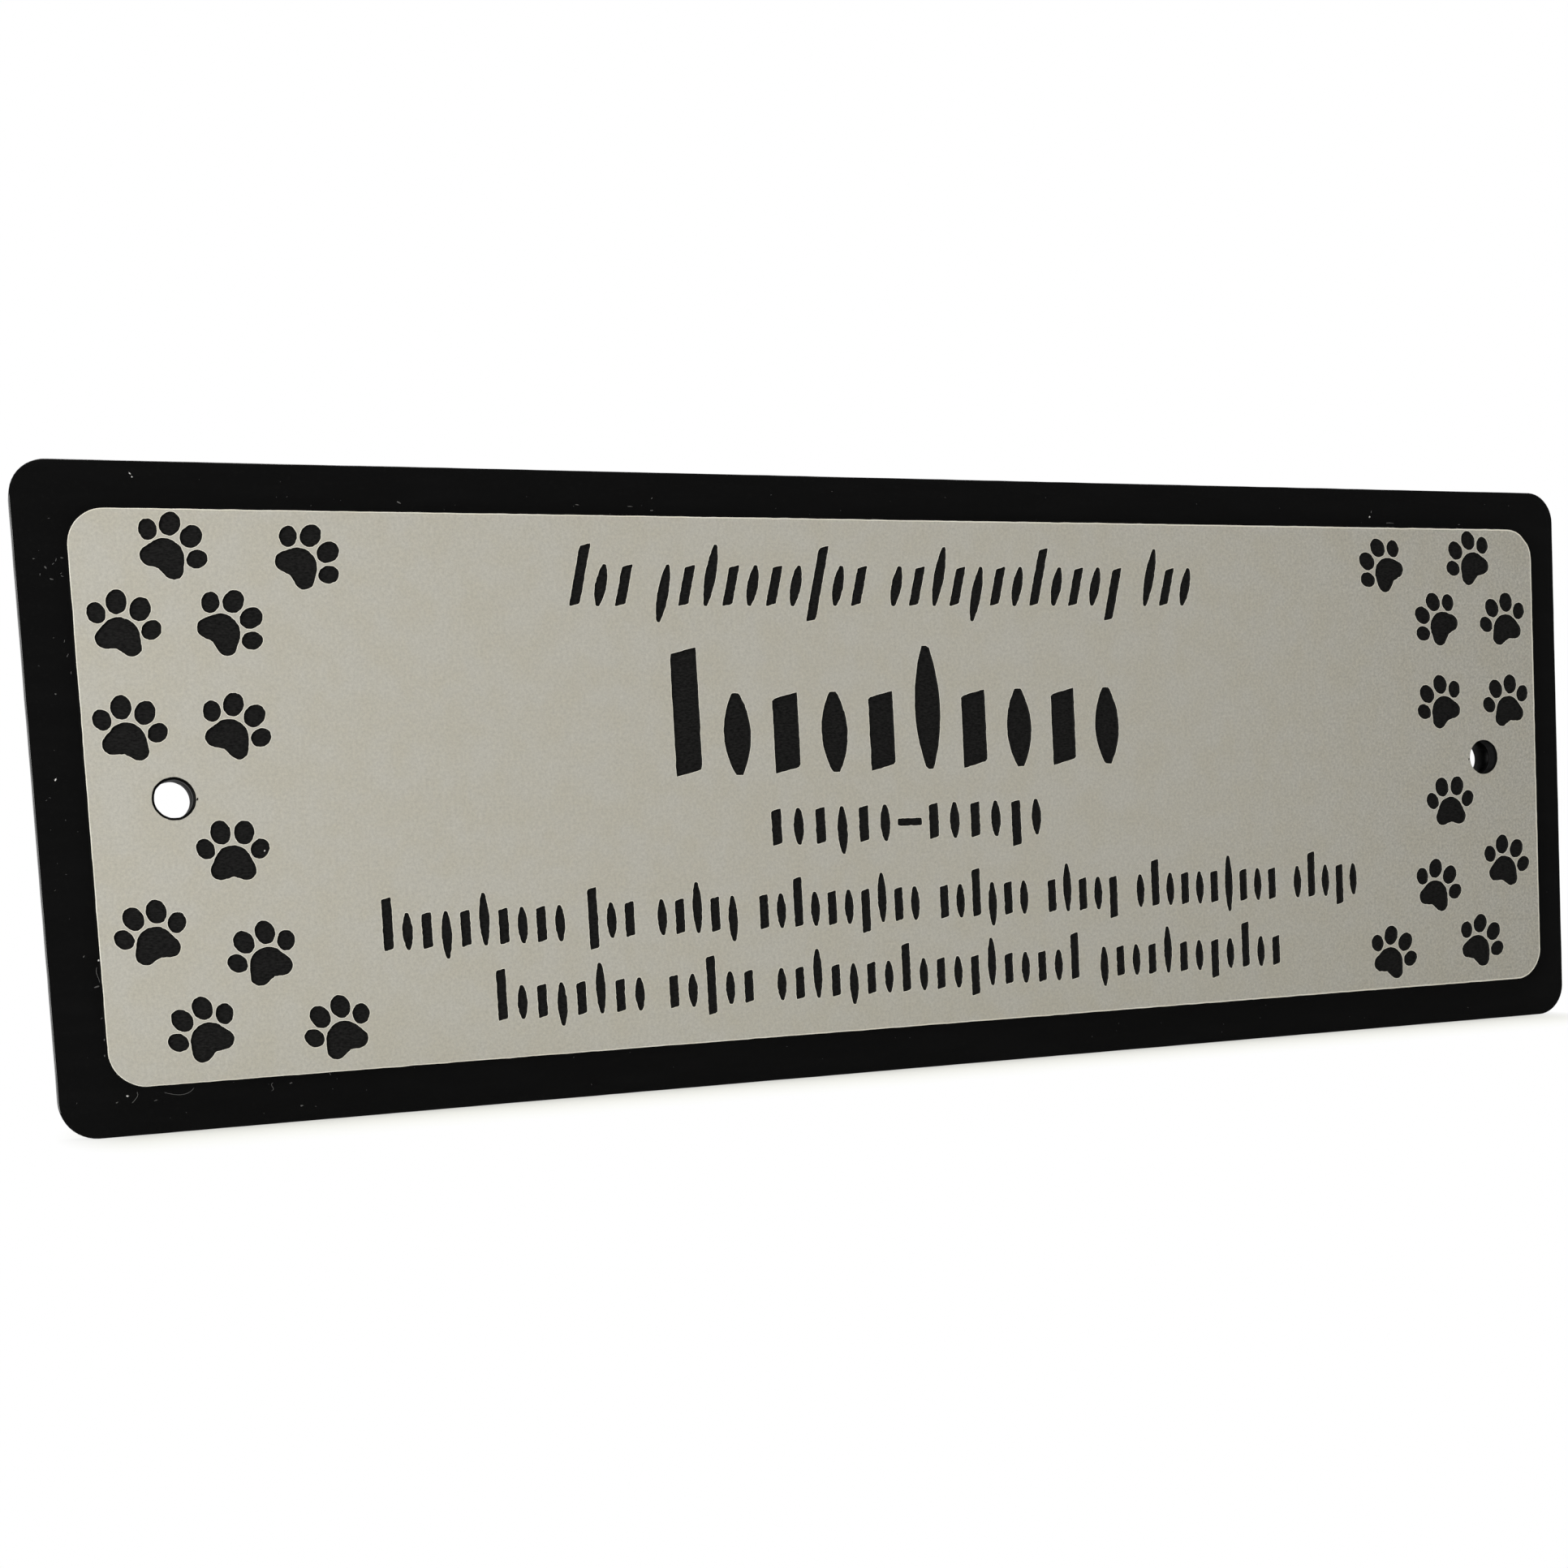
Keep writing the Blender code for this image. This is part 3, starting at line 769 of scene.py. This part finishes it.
def hole_outlines(radius, steps=HOLE_STEPS):
    """The outlines of both screw holes, as they are cut."""
    place = BOARD_HIGH.x - SCREW_HOLE_INSET
    holes = [circle((x, 0.0), radius, steps) for x in (-place, place)]
    cuts = [HOLE_EDGE._replace(seed=HOLE_EDGE.seed + number) for number in range(len(holes))]
    return [cut_along(hole, cut) for hole, cut in zip(holes, cuts)]


def nicked(outline):
    """An outline with a small nick: moved in along its normals by a bell curve about the nick's place."""
    away = np.linalg.norm(outline - np.array(NICK_PLACE), axis=1)
    depth = NICK_DEPTH * np.exp(-((away / NICK_REACH) ** 2))
    return outline - depth[:, None] * outward_normals(outline)


def make_face_plate():
    """The silver plate: front with its marks, a worn rim whose lighter silver is a painted highlight, black
    core all round, charred holes, back.
    """
    thickness = PLATE_BACK - PLATE_FRONT
    drawn = rounded_rectangle(PLATE_WIDTH / 2, PLATE_HEIGHT / 2, CORNER_RADIUS, EDGE_STEPS)
    edge = nicked(cut_along(drawn, PLATE_EDGE))
    holes = hole_outlines(SCREW_HOLE_RADIUS)
    marks = engraved_outlines()
    # The rim's slot paints a highlight: a lighter line along the plate's edge, wider towards the right end,
    # and a flat ring round each mark
    skin, rim, core, floor, bore = range(5)

    plate = Shell()
    rim_edge = edge + PLATE_RIM[0][0] * outward_normals(edge)
    width = np.interp(edge[:, 0], (PLATE_LOW.x, PLATE_HIGH.x), PAINTED_HIGHLIGHT_WIDTHS)
    front_edge = rim_edge - width[:, None] * outward_normals(edge)
    lip_highlight_rings = [mark + PAINTED_LIP_RING[0][0] * outward_normals(mark) for mark in marks]
    plate.sheet([front_edge, *holes, *lip_highlight_rings], PLATE_FRONT, skin)
    plate.sheet([rim_edge, front_edge], PLATE_FRONT, rim)
    plate.band(edge, PLATE_RIM, PLATE_FRONT, rim)
    plate.band(edge, (PLATE_RIM[-1], (0.0, thickness)), PLATE_FRONT, core)
    for mark in marks:
        # The flat lip ring round the mark takes the rim's painted highlight
        plate.band(mark, PAINTED_LIP_RING, PLATE_FRONT, rim, smooth=False)
        plate.band(mark, ENGRAVED_WALL, PLATE_FRONT, core)
    floors = [mark + ENGRAVED_WALL[-1][0] * outward_normals(mark) for mark in marks]
    plate.sheet(floors, PLATE_FRONT + ENGRAVING_DEPTH, floor)
    ends = []
    for hole, share in zip(holes, CHAR_SHARES):
        charred = [(share * move, depth) for move, depth in BORE_CHAR]
        plate.band(hole, charred + [(charred[-1][0], thickness)], PLATE_FRONT, bore)
        ends.append(hole + charred[-1][0] * outward_normals(hole))
    plate.sheet([edge, *ends], PLATE_BACK, core)

    materials = [
        satin_silver("satin_silver_skin", SKIN_SILVER),
        satin_silver("silver_rim_painted_highlight", HIGHLIGHT_RIM_SILVER),
        black_core("black_laminate_core", EDGE_CORE),
        black_core("engraved_core", ENGRAVED_CORE),
        charred_bore("charred_hole_wall"),
    ]
    return plate.piece("engraved_silver_plate", materials, ["face_plate"])


def make_backing_board():
    """The black board: polished faces, softly rounded edges, rippled cut sides and two holes."""
    thickness = BOARD_HIGH.y - BOARD_FRONT
    soft = BOARD_EDGE_ROUND
    drawn = rounded_rectangle(BOARD_HIGH.x, BOARD_HIGH.z, CORNER_RADIUS, EDGE_STEPS)
    edge = cut_along(drawn, BOARD_EDGE)
    holes = hole_outlines(SCREW_HOLE_RADIUS)
    turn = np.radians(np.linspace(0.0, 90.0, EDGE_ROUND_STEPS + 1))
    front_round = list(zip(-soft * (1 - np.sin(turn)), soft * (1 - np.cos(turn))))
    back_round = [(move, thickness - depth) for move, depth in reversed(front_round)]
    gloss, cut, bore = range(3)

    board = Shell()
    inner = edge - soft * outward_normals(edge)
    board.sheet([inner, *holes], BOARD_FRONT, gloss)
    board.band(edge, front_round, BOARD_FRONT, gloss)
    board.band(edge, (front_round[-1], back_round[0]), BOARD_FRONT, cut)
    board.band(edge, back_round, BOARD_FRONT, gloss)
    mouths = []
    for hole, taper in zip(holes, BORE_TAPERS):
        mouth = BORE_FLARE - taper
        wall = ((0.0, 0.0), (-taper, thickness - BORE_FLARE), (mouth, thickness))
        board.band(hole, wall, BOARD_FRONT, bore)
        mouths.append(hole + mouth * outward_normals(hole))
    board.sheet([inner, *mouths], BOARD_HIGH.y, gloss)

    materials = [
        black_gloss("black_gloss_acrylic"),
        cut_acrylic("cut_acrylic_edge"),
        charred_bore("charred_bore"),
    ]
    return board.piece("black_gloss_board", materials, ["backing_board"])


def make_bond_film():
    """The adhesive film that fills the gap between the sheets, a little short of the plate's edge."""
    half_width, half_height = PLATE_WIDTH / 2 - FILM_SHORT, PLATE_HEIGHT / 2 - FILM_SHORT
    edge = rounded_rectangle(half_width, half_height, CORNER_RADIUS, EDGE_STEPS // 2)
    holes = hole_outlines(SCREW_HOLE_RADIUS + FILM_HOLE_SHORT)
    front, back = PLATE_BACK - FILM_CLEARANCE, BOARD_FRONT + FILM_CLEARANCE
    film = Shell()
    film.sheet([edge, *holes], front, 0)
    film.sheet([edge, *holes], back, 0)
    for outline in [edge, *holes]:
        film.band(outline, ((0.0, 0.0), (0.0, back - front)), front, 0)
    return film.piece("bond_film", [bond_film("dark_adhesive")])


def loose_grains(generator):
    """Faint grains scattered over the board's border, fewer towards the right end."""
    x = generator.uniform(BOARD_LOW.x, BOARD_HIGH.x, LOOSE_GRAINS) / MM
    z = generator.uniform(BOARD_LOW.z, BOARD_HIGH.z, LOOSE_GRAINS) / MM
    chance = generator.uniform(0.0, 1.0, LOOSE_GRAINS)
    stays = chance < np.interp(x, (BOARD_LOW.x / MM, BOARD_HIGH.x / MM), (1.0, RIGHT_END_SHARE))
    across, up = np.abs(x), np.abs(z)
    plate_x, plate_z = PLATE_HIGH.x / MM + PLATE_CLEARANCE, PLATE_HIGH.z / MM + PLATE_CLEARANCE
    board_x, board_z = BOARD_HIGH.x / MM - EDGE_CLEARANCE, BOARD_HIGH.z / MM - EDGE_CLEARANCE
    off_plate = (across > plate_x) | (up > plate_z)
    on_board = (across < board_x) & (up < board_z)
    length = generator.uniform(*GRAIN_LENGTHS, LOOSE_GRAINS)
    turn = generator.uniform(0.0, 180.0, LOOSE_GRAINS)
    kept = np.flatnonzero(stays & off_plate & on_board)
    return [Speck(x[k], z[k], length[k], GRAIN_WIDTH, turn[k]) for k in kept]


def make_dust():
    """Dust, hairs and torn shreds, as small closed lumps on the faces that they lie on."""
    generator = np.random.default_rng(DUST_SEED)
    bright, soft, faint, torn = range(4)
    dust = Shell()
    for speck in BRIGHT_SPECKS:
        dust.lump(speck, BRIGHT_HEIGHT, BOARD_FRONT, bright, generator)
    for speck in SOFT_SPECKS:
        dust.lump(speck, SOFT_HEIGHT, BOARD_FRONT, soft, generator)
    for speck in loose_grains(generator):
        dust.lump(speck, FAINT_HEIGHT, BOARD_FRONT, faint, generator)
    for passed in FIBRES:
        dust.hair(passed, FIBRE_RADIUS, BOARD_FRONT, soft)
    for burr in BURRS:
        dust.lump(burr, BURR_HEIGHT, PLATE_FRONT, torn, generator)
    dust.lump(CRUMB, CRUMB_HEIGHT, PLATE_FRONT + ENGRAVING_DEPTH, bright, generator)
    materials = [
        pale_dust("bright_dust", BRIGHT_DUST),
        pale_dust("soft_dust", SOFT_DUST),
        pale_dust("faint_dust", FAINT_DUST),
        charred_bore("torn_skin"),
    ]
    return dust.piece("settled_dust", materials)


def add_light(light):
    """A soft square light at its place, turned to face its aim."""
    lamp = bpy.data.lights.new(light.name, "AREA")
    lamp.shape = "SQUARE"
    lamp.size = light.size
    lamp.energy = light.power
    lamp.color = light.color
    holder = bpy.data.objects.new(light.name, lamp)
    bpy.context.scene.collection.objects.link(holder)
    holder.location = light.place
    facing = Vector(light.aim) - Vector(light.place)
    holder.rotation_euler = facing.to_track_quat("-Z", "Y").to_euler()


def make_floor():
    """The pale floor that the plaque stands on: it takes the plaque's shadow close to it, and is lost in
    the white surroundings further off. Its place is drawn toward zero by the board's half size, and the
    length of what is left, stretched along X, is its distance from the board."""
    level = BOARD_LOW.z
    signs = ((-1, -1), (1, -1), (1, 1), (-1, 1))
    corners = [(side * FLOOR_REACH, end * FLOOR_REACH, level) for side, end in signs]
    mesh = bpy.data.meshes.new("pale_floor")
    mesh.from_pydata(corners, [], [(0, 1, 2, 3)])
    material, tree, shader = new_material("pale_floor")
    shader.inputs["Base Color"].default_value = FLOOR_COLOR
    shader.inputs["Roughness"].default_value = 0.9
    place = add_node(tree, "TexCoord").outputs["Object"]
    steps = (
        ("ABSOLUTE", None),
        ("SUBTRACT", BOARD_HIGH - SHADE_INSET),
        ("MAXIMUM", (0.0, 0.0, 0.0)),
        ("MULTIPLY", SHADE_STRETCH),
    )
    for operation, other in steps:
        inputs = {0: place} if other is None else {0: place, 1: other}
        place = add_node(tree, "VectorMath", inputs, operation=operation).outputs["Vector"]
    away = add_node(tree, "VectorMath", {0: place}, operation="LENGTH").outputs["Value"]
    far = remap(tree, away, 0.0, FLOOR_FADE, SHADE_START, 1.0)
    white = add_node(tree, "Emission", {"Color": grey(1.0)}).outputs["Emission"]
    mixed = add_node(tree, "MixShader", {0: far, 1: shader.outputs["BSDF"], 2: white})
    tree.links.new(mixed.outputs["Shader"], tree.nodes["Material Output"].inputs["Surface"])
    mesh.materials.append(material)
    floor = bpy.data.objects.new("pale_floor", mesh)
    bpy.context.scene.collection.objects.link(floor)
    floor.visible_glossy = False


def make_world():
    """White surroundings: bright behind and above the plaque, dim in front of it."""
    world = bpy.data.worlds.new("studio")
    world.use_nodes = True
    bpy.context.scene.world = world
    tree = world.node_tree
    background = tree.nodes["Background"]
    direction = add_node(tree, "TexCoord").outputs["Generated"]
    split = add_node(tree, "SeparateXYZ", {"Vector": direction})
    behind = remap(tree, split.outputs["Y"], *BEHIND_STRETCH)
    above = remap(tree, split.outputs["Z"], *ABOVE_STRETCH, 0.0, ABOVE_SHARE)
    bright = add_node(tree, "Math", {0: behind, 1: above}, operation="MAXIMUM").outputs["Value"]
    studio = blend_color(tree, bright, grey(ROOM_IN_FRONT), grey(ROOM_BEHIND))
    seen = add_node(tree, "LightPath").outputs["Is Camera Ray"]
    tree.links.new(blend_color(tree, seen, studio, grey(1.0)), background.inputs["Color"])


def make_camera():
    """The photograph's viewpoint: close in front, left of the middle and a little below it."""
    lens = bpy.data.cameras.new("photo_camera")
    lens.sensor_width = SENSOR_WIDTH
    lens.lens = FOCAL_LENGTH
    lens.shift_y = VERTICAL_SHIFT
    lens.clip_start = 0.01
    camera = bpy.data.objects.new("photo_camera", lens)
    bpy.context.scene.collection.objects.link(camera)
    camera.location = CAMERA_PLACE
    camera.rotation_euler = np.radians(CAMERA_TURN)
    bpy.context.scene.camera = camera


make_backing_board()
make_bond_film()
make_face_plate()
make_dust()
make_floor()
make_world()
for light in LIGHTS:
    add_light(light)
make_camera()
bpy.context.scene.view_settings.view_transform = "Standard"
